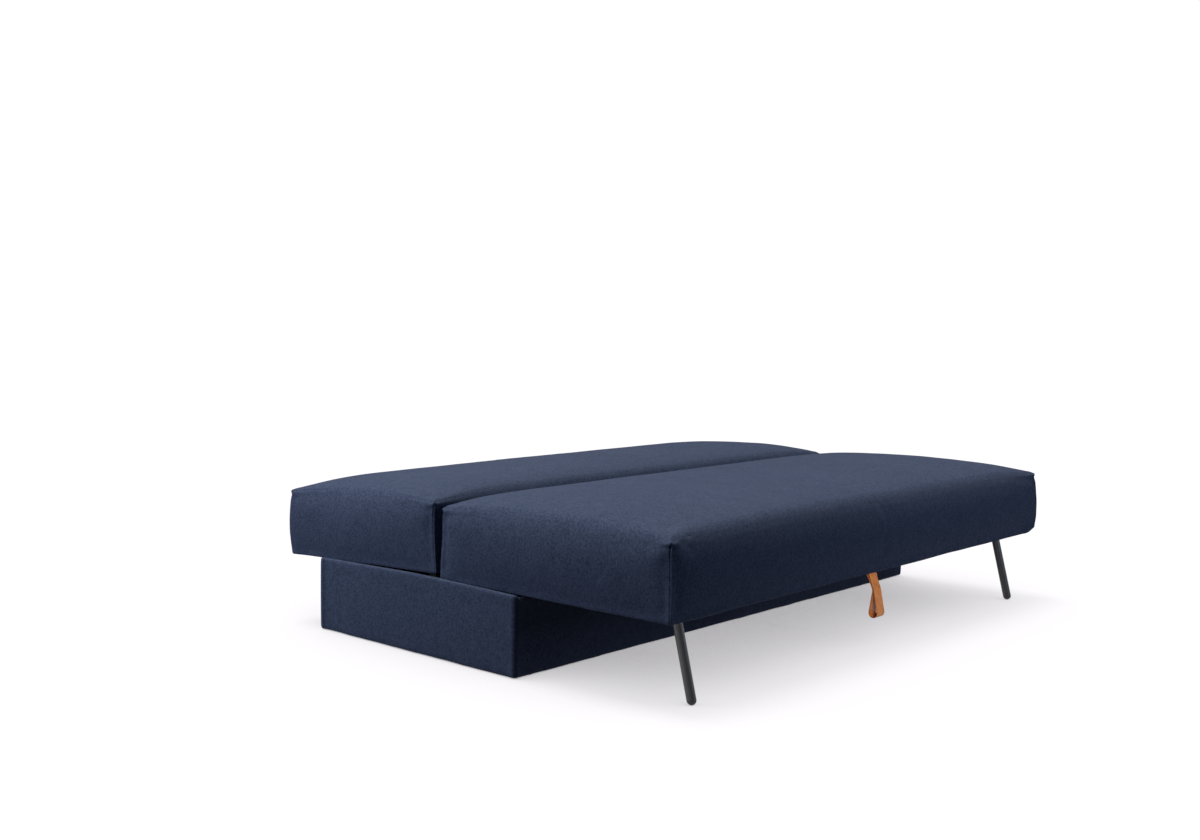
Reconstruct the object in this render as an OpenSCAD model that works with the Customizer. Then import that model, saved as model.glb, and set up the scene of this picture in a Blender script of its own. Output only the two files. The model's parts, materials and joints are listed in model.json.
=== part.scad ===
// Futon sofa bed, stored with the bed made: a storage box on the floor, a seat cushion
// that runs over it on rollers and two front legs, and a back cushion hinged to the seat.
// The origin is on the floor at the middle of the whole bed. +X is the long side, -Y the front.

/* [Cushions] */
// Width of both cushions at their corner seams
cushion_w = 2000; // [1900:10:2020]
// Depth of the seat cushion
seat_d = 767; // [740:1:800]
// Length of the back cushion
back_d = 636; // [600:1:680]
// Thickness of the seat cushion at its edges
seat_h = 199; // [185:1:220]
// Thickness of the back cushion at its edges
back_h = 198; // [190:1:205]
// How much the middle of a cushion stands above its edges
crown = 40; // [10:1:44]
// Height of the seat's underside above the floor
seat_z = 212; // [212:1:216]
// Open space between seat and back at the hinge's height
gap = 14; // [13:1:30]
// How far the back drops towards its free end
droop = 2.2; // [0:0.1:3]
// Thickness of the upholstery cover
cover_t = 2.5; // [1.5:0.5:3]

/* [Storage box] */
// Width over the fabric
box_w = 2040; // [2030:5:2060]
// Depth over the fabric
box_d = 782; // [760:1:800]
// Front face of the box, measured from the middle of the bed
box_front = -242; // [-242:1:-236]
// Height of the box
box_h = 206; // [196:1:206]
// Thickness of the box's board
board_t = 18; // [15:1:18]

/* [Legs and strap] */
// Diameter of the round front legs
leg_d = 24; // [20:1:28]
// Forward lean of the legs
leg_lean = 13.5; // [8:0.5:15]
// Distance of each leg from the middle
leg_x = 877; // [700:1:880]
// Distance of the foot behind the seat's front face
leg_inset = 25; // [22:1:40]
// Width of the pull strap
strap_w = 46; // [30:1:50]
// How far the pull strap hangs below its rod
strap_drop = 130; // [115:1:145]
// How far the strap's hand loop hangs in front of its rod
strap_lean = 20; // [10:1:22]

/* [Mechanism] */
// Radius of the rollers
roller_r = 17; // [14:0.5:17]
// Travel of the seat between bed and sofa
travel = 360; // [300:5:360]

/* [Hidden] */
$fn = 48;
e = 1;

// back cushion and its hinge, in the cushion's own frame: y from the hinged end, z from below
hinge_in = 66;
hinge_top = 56;
hinge_up = back_h - hinge_top;
end_r = [16, 22];
edge_r = 25;
hem_r = 12;
run_out = (back_d - hinge_in - edge_r) * cos(droop) + (hinge_top - edge_r) * sin(droop) + edge_r;
front_y = -(seat_d + gap + hinge_in + run_out) / 2;
rear_y = front_y + seat_d;
hinge_y = rear_y + gap + hinge_in;
hinge_z = 366;

// wooden frames
rail_t = 22;
rail_h = 58;
rail_in = 8;
frame_z = seat_z + 2;
side_x = 990;
slat_n = 7;
slat_w = 52;
slat_t = 8;
slat_pitch = 136;
slat_x0 = 75;
slat_z = 42;
holder_l = 30;
holder_h = 20;

// steel plates beside the frames
plate_t = 5;
plate_x = side_x - rail_t - plate_t;
ear_x = plate_x - 2 - plate_t;
pin_r = 6;

// storage box
skin_t = 2;
pad_t = 10;
wall_x = box_w / 2 - skin_t - pad_t;
wall_y0 = box_front + skin_t + pad_t;
wall_y1 = box_front + box_d - skin_t - pad_t;
wall_z0 = 8;
wall_z1 = box_h - skin_t;
floor_z = 22;

// roller tracks inside the box
track_x = wall_x - board_t;
track_t = 3;
axle_r = 4;
roller_z = 141;
roller_y = [-150, 10];
track_z0 = roller_z - roller_r - 0.3 - track_t;
track_h = 2 * (roller_r + 0.3 + track_t);
track_y0 = -205;
track_y1 = 470;

// legs and strap
leg_r = leg_d / 2;
foot_y = front_y + leg_inset;
plate_z = seat_z - 3.8;
leg_len = (plate_z - leg_r) / cos(leg_lean);
leg_top = foot_y + plate_z * tan(leg_lean);
strap_y = front_y + 46;
strap_z = seat_z - 5.5;
strap_t = 2.5;
rod_r = 2.5;

// ---------- shared shapes ----------

module block(x, y, z) {
    translate([x[0], y[0], z[0]]) cube([x[1] - x[0], y[1] - y[0], z[1] - z[0]]);
}

module corner_cut(r) {
    if (r > 0) difference() {
        translate([-e, -e]) square(r + e);
        translate([r, r]) circle(r = r);
    }
}

// rectangle from [0, 0] with corner radii [near low, near high, far high, far low]
module soft_rect(l, h, r) {
    difference() {
        square([l, h]);
        corner_cut(r[0]);
        translate([0, h]) mirror([0, 1]) corner_cut(r[1]);
        translate([l, h]) mirror([1, 0]) mirror([0, 1]) corner_cut(r[2]);
        translate([l, 0]) mirror([1, 0]) corner_cut(r[3]);
    }
}

// the same rectangle with a shallow arch on top, set in from each end
module crowned_rect(l, h, r, a, b) {
    soft_rect(l, h, r);
    half = (l - a - b) / 2;
    big = (half * half + crown * crown) / (2 * crown);
    intersection() {
        translate([a + half, h + crown - big]) circle(r = big, $fn = 1440);
        translate([a, h - e]) square([2 * half, crown + 2 * e]);
    }
}

// cushion outline: y from 0 to d, z from 0, x centred; t is how far inside the fabric it lies
module cushion(d, h, r, t) {
    w = cushion_w - 2 * t;
    q = [for (v = r) max(v - t, 0)];
    intersection() {
        translate([-w / 2, 0, 0]) rotate([90, 0, 90]) linear_extrude(w)
            translate([t, t]) crowned_rect(d - 2 * t, h - 2 * t, q, q[1] + 10, q[2] + 10);
        translate([-w / 2, d, t]) rotate([90, 0, 0]) linear_extrude(d)
            crowned_rect(w, h - 2 * t, [hem_r - t, edge_r - t, edge_r - t, hem_r - t], 40, 40);
        translate([-w / 2, t, 0]) linear_extrude(h + crown + e)
            soft_rect(w, d - 2 * t, [20 - t, 20 - t, 20 - t, 20 - t]);
    }
}

// fabric shell, open below inside the hem
module shell(d, h, r) {
    difference() {
        cushion(d, h, r, 0);
        difference() {
            cushion(d, h, r, cover_t);
            block([-cushion_w, cushion_w], [-e, d + e], [-e, 20]);
        }
        translate([-cushion_w / 2 + 6, max(r[0] - 18, 6), -e])
            cube([cushion_w - 12, d - max(r[0] - 18, 6) - 6, 21 + e]);
    }
}

// foam block from height z0 up, clear of its cover all round
module foam(d, h, r, z0) {
    intersection() {
        cushion(d, h, r, cover_t + 0.3);
        block([-cushion_w, cushion_w], [-e, d + e], [z0, h + crown + e]);
    }
}

module in_seat() {
    translate([0, front_y, seat_z]) children();
}

module in_back() {
    translate([0, hinge_y, hinge_z]) rotate([-droop, 0, 0]) translate([0, -hinge_in, -hinge_up])
        children();
}

module both_sides() {
    children();
    mirror([1, 0, 0]) children();
}

// slats run front to back; y is their free span between two rails
module slats(y) {
    both_sides() for (i = [0 : slat_n - 1]) translate([slat_x0 + i * slat_pitch - slat_w / 2, 0, 0])
        block([0, slat_w], [y[0] + 4, y[1] - 4], [slat_z, slat_z + slat_t]);
}

module slat_holders(y) {
    both_sides() for (i = [0 : slat_n - 1]) translate([slat_x0 + i * slat_pitch, 0, 0])
        for (s = [0, 1]) translate([0, s * (y[0] + y[1]), 0]) mirror([0, s, 0]) difference() {
            block([-slat_w / 2 - 3, slat_w / 2 + 3], [y[0], y[0] + holder_l],
                [slat_z - 6, slat_z - 6 + holder_h]);
            block([-slat_w / 2 - 0.3, slat_w / 2 + 0.3], [y[0] + 3.7, y[0] + holder_l + e],
                [slat_z - 0.3, slat_z + slat_t + 0.3]);
        }
}

// round-headed screw, head at z < 0, shank up to z = l
module screw(r, l) {
    translate([0, 0, -0.01]) cylinder(r = r, h = l);
    intersection() {
        translate([0, 0, r]) sphere(r = 2.4 * r);
        translate([-3 * r, -3 * r, -2 * r]) cube([6 * r, 6 * r, 2 * r]);
    }
}

// ---------- storage box ----------

module box_front_panel() {
    color("Peru") block([-wall_x, wall_x], [wall_y0, wall_y0 + board_t], [wall_z0, wall_z1]);
}

module box_rear_panel() {
    color("Peru") block([-wall_x, wall_x], [wall_y1 - board_t, wall_y1], [wall_z0, wall_z1]);
}

module box_side() {
    block([track_x, wall_x], [wall_y0 + board_t, wall_y1 - board_t], [wall_z0, wall_z1]);
}

module box_left_panel() {
    color("Peru") mirror([1, 0, 0]) box_side();
}

module box_right_panel() {
    color("Peru") box_side();
}

module box_bottom_panel() {
    color("BurlyWood") block([-track_x, track_x], [wall_y0 + board_t, wall_y1 - board_t],
        [floor_z + 12, floor_z + 18]);
}

module corner_blocks() {
    color("Tan") both_sides() for (y = [wall_y0 + board_t, wall_y1 - board_t - 30])
        block([track_x - 30, track_x], [y, y + 30], [floor_z + 18, floor_z + 88]);
}

module box_battens() {
    color("Tan") for (y = [wall_y0 + board_t, wall_y1 - board_t - 20])
        block([-track_x, track_x], [y, y + 20], [wall_z0, floor_z + 12]);
}

// rounded rectangle of the box, t inside the fabric
module box_plan(t) {
    translate([-box_w / 2 + t, box_front + t])
        soft_rect(box_w - 2 * t, box_d - 2 * t, [20 - t, 20 - t, 20 - t, 20 - t]);
}

module box_padding() {
    color("Ivory") translate([0, 0, wall_z0]) linear_extrude(wall_z1 - wall_z0) difference() {
        box_plan(skin_t);
        translate([-wall_x, wall_y0]) square([2 * wall_x, wall_y1 - wall_y0]);
    }
}

module box_cover() {
    color("MidnightBlue") {
        translate([0, 0, 5]) linear_extrude(wall_z1 - 5) difference() {
            box_plan(0);
            box_plan(skin_t);
        }
        translate([0, 0, wall_z1]) linear_extrude(skin_t) difference() {
            box_plan(0);
            translate([-track_x, wall_y0 + board_t])
                square([2 * track_x, wall_y1 - wall_y0 - 2 * board_t]);
        }
    }
}

module box_glides() {
    color("DimGray") for (x = [-wall_x + 60, 0, wall_x - 60])
        for (y = [wall_y0 + board_t / 2, wall_y1 - board_t / 2])
            translate([x, y, 0]) cylinder(r = 11, h = wall_z0);
}

// steel channel that the rollers run in, open towards the middle
module track() {
    difference() {
        block([track_x - 20, track_x], [track_y0, track_y1], [track_z0, track_z0 + track_h]);
        block([track_x - 20 - e, track_x - track_t], [track_y0 - e, track_y1 + e],
            [track_z0 + track_t, track_z0 + track_h - track_t]);
        for (y = [track_y0 + 20, 160, track_y1 - 20])
            translate([track_x - track_t - e, y, roller_z]) rotate([0, 90, 0])
                cylinder(r = 2.3, h = track_t + 2 * e);
    }
}

module track_left() {
    color("LightSlateGray") mirror([1, 0, 0]) track();
}

module track_right() {
    color("LightSlateGray") track();
}

// flat heads, thin enough for the rollers to pass
module track_screws() {
    color("Silver") both_sides() for (y = [track_y0 + 20, 160, track_y1 - 20])
        translate([track_x - track_t, y, roller_z]) rotate([0, 90, 0]) {
            cylinder(r = 2, h = track_t + 12);
            translate([0, 0, -0.6]) cylinder(r = 4.2, h = 0.6);
        }
}

module track_stops() {
    color("Black") both_sides()
        for (y = [roller_y[0] - roller_r - 15.5, roller_y[1] + travel + roller_r + 0.5])
            block([track_x - 17, track_x - 4], [y, y + 15],
                [track_z0 + track_t, track_z0 + track_h - track_t]);
}

module rest_pads() {
    color("Black") both_sides() for (x = [200, 600])
        block([x, x + 40], [wall_y1 - 16, wall_y1 - 2], [box_h, 208]);
}

// ---------- seat frame ----------

seat_span = [rail_in + rail_t, seat_d - rail_in - rail_t];

module seat_front_rail() {
    color("BurlyWood") in_seat()
        block([-side_x, side_x], [rail_in, rail_in + rail_t], [2, 2 + rail_h]);
}

module seat_rear_rail() {
    color("BurlyWood") in_seat()
        block([-side_x, side_x], [seat_span[1], seat_d - rail_in], [2, 2 + rail_h]);
}

module seat_side() {
    in_seat() block([side_x - rail_t, side_x], seat_span, [2, 2 + rail_h]);
}

module seat_left_rail() {
    color("BurlyWood") mirror([1, 0, 0]) seat_side();
}

module seat_right_rail() {
    color("BurlyWood") seat_side();
}

module seat_mid_rail() {
    color("BurlyWood") in_seat() block([-11, 11], seat_span, [2, 2 + rail_h]);
}

module seat_slats() {
    color("Wheat") in_seat() slats(seat_span);
}

module seat_slat_holders() {
    color("DimGray") in_seat() slat_holders(seat_span);
}

module seat_foam() {
    color("LightYellow") in_seat()
        foam(seat_d, seat_h, [hem_r, edge_r, edge_r, hem_r], rail_h + 3);
}

module seat_cover() {
    color("SlateBlue") in_seat() shell(seat_d, seat_h, [hem_r, edge_r, edge_r, hem_r]);
}

module seat_dust_cover() {
    color("Black") in_seat() difference() {
        block([-955, 955], [34, seat_d - 12], [0, 2]);
        block([-58, 58], [30, strap_y - front_y + 12], [-e, 3]);
    }
}

// ---------- side plates, hinge and rollers ----------

// one plate per side carries two roller axles and the arm up to the hinge pin
module mech_plate() {
    arm_a = atan2(hinge_z - 201, 24);
    translate([plate_x, 0, 0]) rotate([90, 0, 90]) difference() {
        linear_extrude(plate_t) difference() {
            union() {
                translate([roller_y[0] - 22, roller_z + 4])
                    square([roller_y[1] - roller_y[0] + 34, frame_z + 46 - roller_z]);
                for (y = roller_y) translate([y, roller_z + 1]) circle(r = 16);
                translate([-20, seat_z - 22]) square([hinge_y - 14 + 20, 22]);
                translate([hinge_y - 24, 201]) rotate(arm_a) translate([-8, -12])
                    square([norm([24, hinge_z - 201]) + 8, 24]);
                translate([hinge_y, hinge_z]) circle(r = 16);
            }
            translate([hinge_y - 60, 0]) square([200, seat_z - 22]);
            translate([hinge_y - 14, 0]) square([200, 204.5]);
            translate([hinge_y, hinge_z]) circle(r = pin_r);
            for (y = roller_y) translate([y, roller_z]) circle(r = axle_r);
            for (y = [roller_y[0], -70, roller_y[1] - 5]) translate([y, frame_z + 28])
                circle(r = 3.3);
        }
    }
}

module mech_plate_left() {
    color("DarkSlateGray") mirror([1, 0, 0]) mech_plate();
}

module mech_plate_right() {
    color("DarkSlateGray") mech_plate();
}

module mech_bolts() {
    color("Silver") both_sides() for (y = [roller_y[0], -70, roller_y[1] - 5])
        translate([plate_x, y, frame_z + 28]) rotate([0, 90, 0]) screw(3, 24);
}

module hinge_pins() {
    color("Silver") both_sides() translate([ear_x - 5, hinge_y, hinge_z]) rotate([0, 90, 0]) {
        cylinder(r = pin_r, h = plate_x + plate_t - ear_x + 7);
        cylinder(r = 10, h = 3);
    }
}

module roller_axles() {
    color("Silver") both_sides() for (y = roller_y) translate([plate_x - 2, y, roller_z])
        rotate([0, 90, 0]) {
            cylinder(r = 7, h = 2);
            cylinder(r = axle_r, h = 25);
            translate([0, 0, plate_t + 2]) cylinder(r = 7, h = 4.2);
            translate([0, 0, 23.8]) cylinder(r = 6.5, h = 1.4);
        }
}

// nylon wheel on its axle
module roller(side, y) {
    mirror([side < 0 ? 1 : 0, 0, 0]) translate([plate_x + plate_t + 4.5, y, roller_z])
        rotate([0, 90, 0]) difference() {
            union() {
                cylinder(r = roller_r - 1, h = 12);
                translate([0, 0, 1]) cylinder(r = roller_r, h = 10);
            }
            translate([0, 0, -e]) cylinder(r = axle_r + 0.05, h = 12 + 2 * e);
            for (z = [-e, 10.5]) translate([0, 0, z]) difference() {
                cylinder(r = roller_r - 4, h = 1.5 + e);
                translate([0, 0, -e]) cylinder(r = axle_r + 3, h = 5);
            }
        }
}

module roller_front_left() {
    color("WhiteSmoke") roller(-1, roller_y[0]);
}

module roller_rear_left() {
    color("WhiteSmoke") roller(-1, roller_y[1]);
}

module roller_front_right() {
    color("WhiteSmoke") roller(1, roller_y[0]);
}

module roller_rear_right() {
    color("WhiteSmoke") roller(1, roller_y[1]);
}

// ---------- front legs ----------

module at_foot() {
    translate([leg_x, foot_y, 0]) translate([0, leg_r * tan(leg_lean), leg_r])
        rotate([-leg_lean, 0, 0]) children();
}

module leg() {
    intersection() {
        at_foot() cylinder(r = leg_r, h = leg_len + 30);
        block([leg_x - 40, leg_x + 40], [front_y, front_y + 200], [0, plate_z]);
    }
}

module leg_left() {
    color("Black") mirror([1, 0, 0]) leg();
}

module leg_right() {
    color("Black") leg();
}

module leg_glides() {
    color("DimGray") both_sides() at_foot() difference() {
        sphere(r = leg_r);
        translate([-50, -50, 0]) cube(100);
    }
}

// four screw positions round the top of a leg
leg_holes = [for (x = [-26, 26], y = [-30, 24]) [x, y]];

module leg_plates() {
    color("Black") both_sides() difference() {
        block([leg_x - 35, leg_x + 35], [leg_top - 40, leg_top + 34], [plate_z, seat_z]);
        for (p = leg_holes) translate([leg_x + p[0], leg_top + p[1], plate_z - e])
            cylinder(r = 2.6, h = 10);
    }
}

module leg_blocks() {
    color("BurlyWood") both_sides() in_seat()
        block([leg_x - 50, side_x - rail_t], [seat_span[0], seat_span[0] + 100], [2, 34]);
}

module leg_screws() {
    color("Silver") both_sides() for (p = leg_holes)
        translate([leg_x + p[0], leg_top + p[1], plate_z]) screw(2.3, 20);
}

// ---------- pull strap ----------

module strap_bracket() {
    x = strap_w / 2 + 2;
    color("Black") translate([0, strap_y, 0]) {
        translate([-x - 1, 0, strap_z]) rotate([0, 90, 0]) cylinder(r = rod_r, h = 2 * x + 2);
        both_sides() {
            block([x, x + 21], [-34, 8], [seat_z, frame_z]);
            block([x, x + 2.5], [-5, 5], [strap_z, frame_z]);
            translate([x, 0, strap_z]) rotate([0, 90, 0]) cylinder(r = 5, h = 2.5);
        }
    }
}

module strap_screws() {
    color("Silver") both_sides() translate([strap_w / 2 + 14, strap_y - 26, seat_z])
        screw(1.6, 16);
}

// outline round two circles: radius r1 at p and r2 at q
module tear(r1, p, r2, q) {
    hull() {
        translate(p) circle(r = r1);
        translate(q) circle(r = r2);
    }
}

// stiff leather band folded over the rod, its two layers sewn together, then open as a hand loop
module pull_strap() {
    fat = 14;
    neck = [-strap_lean, -50];
    loop = [-strap_lean - 1, fat - strap_drop];
    color("Peru") translate([-strap_w / 2, strap_y, strap_z]) rotate([90, 0, 90])
        linear_extrude(strap_w) difference() {
            union() {
                circle(r = rod_r + 0.3 + strap_t);
                tear(strap_t, [0, 0], strap_t, neck);
                tear(strap_t + 1, neck, fat, loop);
            }
            circle(r = rod_r + 0.3);
            tear(1, neck + [0, -7], fat - strap_t, loop);
        }
}

// ---------- back ----------

back_span = [72, back_d - rail_in - rail_t];
ear_out = ear_x + plate_t;
notch_y = hinge_in + 20;

// room at the hinged end for the arm, the pin and the plate beside it
module hinge_notch(x0, x1) {
    both_sides() block([x0, x1], [-e, notch_y], [-e, hinge_up + 20]);
}

module back_end_rail() {
    color("BurlyWood") in_back()
        block([-ear_x, ear_x], [back_span[0] - rail_t, back_span[0]], [2, 2 + rail_h]);
}

module back_far_rail() {
    color("BurlyWood") in_back() block([-ear_out - rail_t, ear_out + rail_t],
        [back_span[1], back_d - rail_in], [2, 2 + rail_h]);
}

module back_side() {
    in_back() block([ear_out, ear_out + rail_t], [notch_y + 4, back_span[1]], [2, 2 + rail_h]);
}

module back_left_rail() {
    color("BurlyWood") mirror([1, 0, 0]) back_side();
}

module back_right_rail() {
    color("BurlyWood") back_side();
}

module back_mid_rail() {
    color("BurlyWood") in_back() block([-11, 11], back_span, [2, 2 + rail_h]);
}

module back_slats() {
    color("Wheat") in_back() slats(back_span);
}

module back_slat_holders() {
    color("DimGray") in_back() slat_holders(back_span);
}

module back_foam() {
    color("LightYellow") in_back() difference() {
        foam(back_d, back_h, [end_r[0], end_r[1], edge_r, hem_r], rail_h + 3);
        hinge_notch(ear_x - 7, plate_x + plate_t + 4);
    }
}

module back_cover() {
    color("SlateBlue") in_back() difference() {
        shell(back_d, back_h, [end_r[0], end_r[1], edge_r, hem_r]);
        hinge_notch(plate_x - 2.5, plate_x + plate_t + 2.5);
    }
}

// sewn-in panel on the side that faces the wall when the back stands
module back_rear_fabric() {
    color("SlateBlue") in_back() block([-945, 945], [back_span[0] - rail_t, back_d - 12], [0.5, 2]);
}

ear_holes = [140, 180, 220];

module hinge_ear() {
    in_back() translate([ear_x, 0, 0]) rotate([90, 0, 90]) linear_extrude(plate_t) difference() {
        union() {
            translate([hinge_in - 16, 8]) square([268 - hinge_in, 44]);
            translate([hinge_in - 16, 8]) square([32, hinge_up - 8]);
            translate([hinge_in, hinge_up]) circle(r = 16);
        }
        translate([hinge_in, hinge_up]) circle(r = pin_r + 2);
        for (y = ear_holes) translate([y, 30]) circle(r = 3.3);
    }
}

module hinge_ear_left() {
    color("DarkSlateGray") mirror([1, 0, 0]) hinge_ear();
}

module hinge_ear_right() {
    color("DarkSlateGray") hinge_ear();
}

module ear_bolts() {
    color("Silver") both_sides() in_back() for (y = ear_holes)
        translate([ear_x, y, 30]) rotate([0, 90, 0]) screw(3, 24);
}

module hinge_bushings() {
    color("White") both_sides() in_back() translate([ear_x, hinge_in, hinge_up])
        rotate([0, 90, 0]) difference() {
            union() {
                cylinder(r = pin_r + 2, h = plate_t);
                translate([0, 0, plate_t]) cylinder(r = pin_r + 5, h = 1.6);
                translate([0, 0, -1.6]) cylinder(r = pin_r + 5, h = 1.6);
            }
            translate([0, 0, -5]) cylinder(r = pin_r + 0.05, h = 20);
        }
}

box_front_panel();
box_rear_panel();
box_left_panel();
box_right_panel();
box_bottom_panel();
corner_blocks();
box_battens();
box_padding();
box_cover();
box_glides();
track_left();
track_right();
track_screws();
track_stops();
rest_pads();
seat_front_rail();
seat_rear_rail();
seat_left_rail();
seat_right_rail();
seat_mid_rail();
seat_slats();
seat_slat_holders();
seat_foam();
seat_cover();
seat_dust_cover();
mech_plate_left();
mech_plate_right();
mech_bolts();
hinge_pins();
roller_axles();
leg_left();
leg_right();
leg_plates();
leg_blocks();
leg_screws();
leg_glides();
strap_bracket();
strap_screws();
roller_front_left();
roller_rear_left();
roller_front_right();
roller_rear_right();
back_end_rail();
back_far_rail();
back_left_rail();
back_right_rail();
back_mid_rail();
back_slats();
back_slat_holders();
back_foam();
back_cover();
back_rear_fabric();
hinge_ear_left();
hinge_ear_right();
ear_bolts();
hinge_bushings();
pull_strap();
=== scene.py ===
"""Looks of the sofa bed: upholstery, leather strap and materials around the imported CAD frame."""
import json
import math

import bpy
import numpy as np
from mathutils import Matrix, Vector


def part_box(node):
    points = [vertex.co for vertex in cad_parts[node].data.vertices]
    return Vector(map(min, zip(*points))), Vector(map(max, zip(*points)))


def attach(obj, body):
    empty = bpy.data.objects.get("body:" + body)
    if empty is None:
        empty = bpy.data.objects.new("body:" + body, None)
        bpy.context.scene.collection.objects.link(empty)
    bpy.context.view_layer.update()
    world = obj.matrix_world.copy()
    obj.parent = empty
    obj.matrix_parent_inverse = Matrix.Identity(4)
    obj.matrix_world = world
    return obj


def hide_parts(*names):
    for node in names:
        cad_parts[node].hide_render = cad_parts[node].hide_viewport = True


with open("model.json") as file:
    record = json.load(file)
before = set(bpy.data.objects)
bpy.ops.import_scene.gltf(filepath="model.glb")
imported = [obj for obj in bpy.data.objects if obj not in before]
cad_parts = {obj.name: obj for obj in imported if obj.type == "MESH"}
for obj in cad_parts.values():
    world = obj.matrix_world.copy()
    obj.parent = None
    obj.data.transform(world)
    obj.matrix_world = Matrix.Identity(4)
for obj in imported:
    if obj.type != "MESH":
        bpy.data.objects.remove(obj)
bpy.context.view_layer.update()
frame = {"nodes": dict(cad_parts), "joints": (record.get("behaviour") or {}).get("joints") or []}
nodes = frame["nodes"]
joints = {j["name"]: j for j in frame["joints"]}

CUSHION_W = 2.0
SEAT_D, SEAT_H = 0.767, 0.199
BACK_D, BACK_H = 0.636, 0.198
HINGE_IN, HINGE_UP = 0.066, 0.142  # hinge line in the back's own frame: y from its hinged end, z from below
DROOP = math.radians(2.2)  # how far the flat back leans down to the rear
HEM_W = 0.018  # fabric turned in under a cushion
FRAME_H = 0.061  # height of the wooden frame inside it
# slots for the hinge arms in the back, and the hollow behind them: |x| range, depth and height
SLOT_X = (0.9605, 0.9705)
CAVITY_X = (0.949, 0.978)
NOTCH_Y, NOTCH_Z = 0.086, 0.162

seat_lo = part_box("seat_cover")[0]
front_y, seat_z = seat_lo.y, seat_lo.z
hinge = Vector(joints["back_fold"]["pos_m"])


# ---------- node materials ----------

class Graph:
    """A small helper that builds one Principled material."""

    def __init__(self, name, rough=0.6, metal=0.0, color=None, sheen=0.0, coat=0.0, specular=0.5):
        self.mat = bpy.data.materials.new(name)
        self.mat.use_nodes = True
        self.tree = self.mat.node_tree
        self.bsdf = self.tree.nodes["Principled BSDF"]
        self.bsdf.inputs["Roughness"].default_value = rough
        self.bsdf.inputs["Metallic"].default_value = metal
        self.bsdf.inputs["Specular IOR Level"].default_value = specular
        self.bsdf.inputs["Sheen Weight"].default_value = sheen
        self.bsdf.inputs["Sheen Roughness"].default_value = 0.45
        self.bsdf.inputs["Coat Weight"].default_value = coat
        self.bsdf.inputs["Coat Roughness"].default_value = 0.25
        if color:
            self.bsdf.inputs["Base Color"].default_value = (*color, 1)
        self.coords = self.tree.nodes.new("ShaderNodeTexCoord")

    def add(self, kind, out=0, props=None, **inputs):
        node = self.tree.nodes.new("ShaderNode" + kind)
        for k, v in (props or {}).items():
            setattr(node, k, v)
        for k, v in inputs.items():
            key = int(k[1:]) if k[0] == "i" and k[1:].isdigit() else k.replace("_", " ")
            self.put(node.inputs[key], v)
        return node.outputs[out]

    def put(self, socket, v):
        if isinstance(v, bpy.types.NodeSocket):
            self.tree.links.new(v, socket)
        elif isinstance(v, (tuple, list)) and len(v) == 3 and len(socket.default_value) == 4:
            socket.default_value = (*v, 1)
        else:
            socket.default_value = v

    def math(self, op, a, b=0.0, clamp=False):
        return self.add("Math", props={"operation": op, "use_clamp": clamp}, i0=a, i1=b)

    def place(self, scale):
        return self.add("Mapping", Vector=self.coords.outputs["Object"], Scale=scale)

    def noise(self, scale, detail=2.0, rough=0.5, vector=None, distortion=0.0):
        vector = vector or self.coords.outputs["Object"]
        return self.add("TexNoise", Vector=vector, Scale=scale, Detail=detail, Roughness=rough,
                        Distortion=distortion)

    def ramp(self, value, lo, hi, to_lo=0.0, to_hi=1.0):
        return self.add("MapRange", Value=value, From_Min=lo, From_Max=hi, To_Min=to_lo, To_Max=to_hi)

    def mix(self, fac, a, b, blend="MIX"):
        node = self.tree.nodes.new("ShaderNodeMix")
        node.data_type = "RGBA"
        node.blend_type = blend
        self.put(node.inputs[0], fac)
        self.put(node.inputs[6], a)
        self.put(node.inputs[7], b)
        return node.outputs[2]

    def base(self, color):
        self.put(self.bsdf.inputs["Base Color"], color)

    def rough(self, value):
        self.put(self.bsdf.inputs["Roughness"], value)

    def bump(self, height, strength=0.3, distance=0.001):
        normal = self.add("Bump", Height=height, Strength=strength, Distance=distance)
        self.put(self.bsdf.inputs["Normal"], normal)


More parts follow.
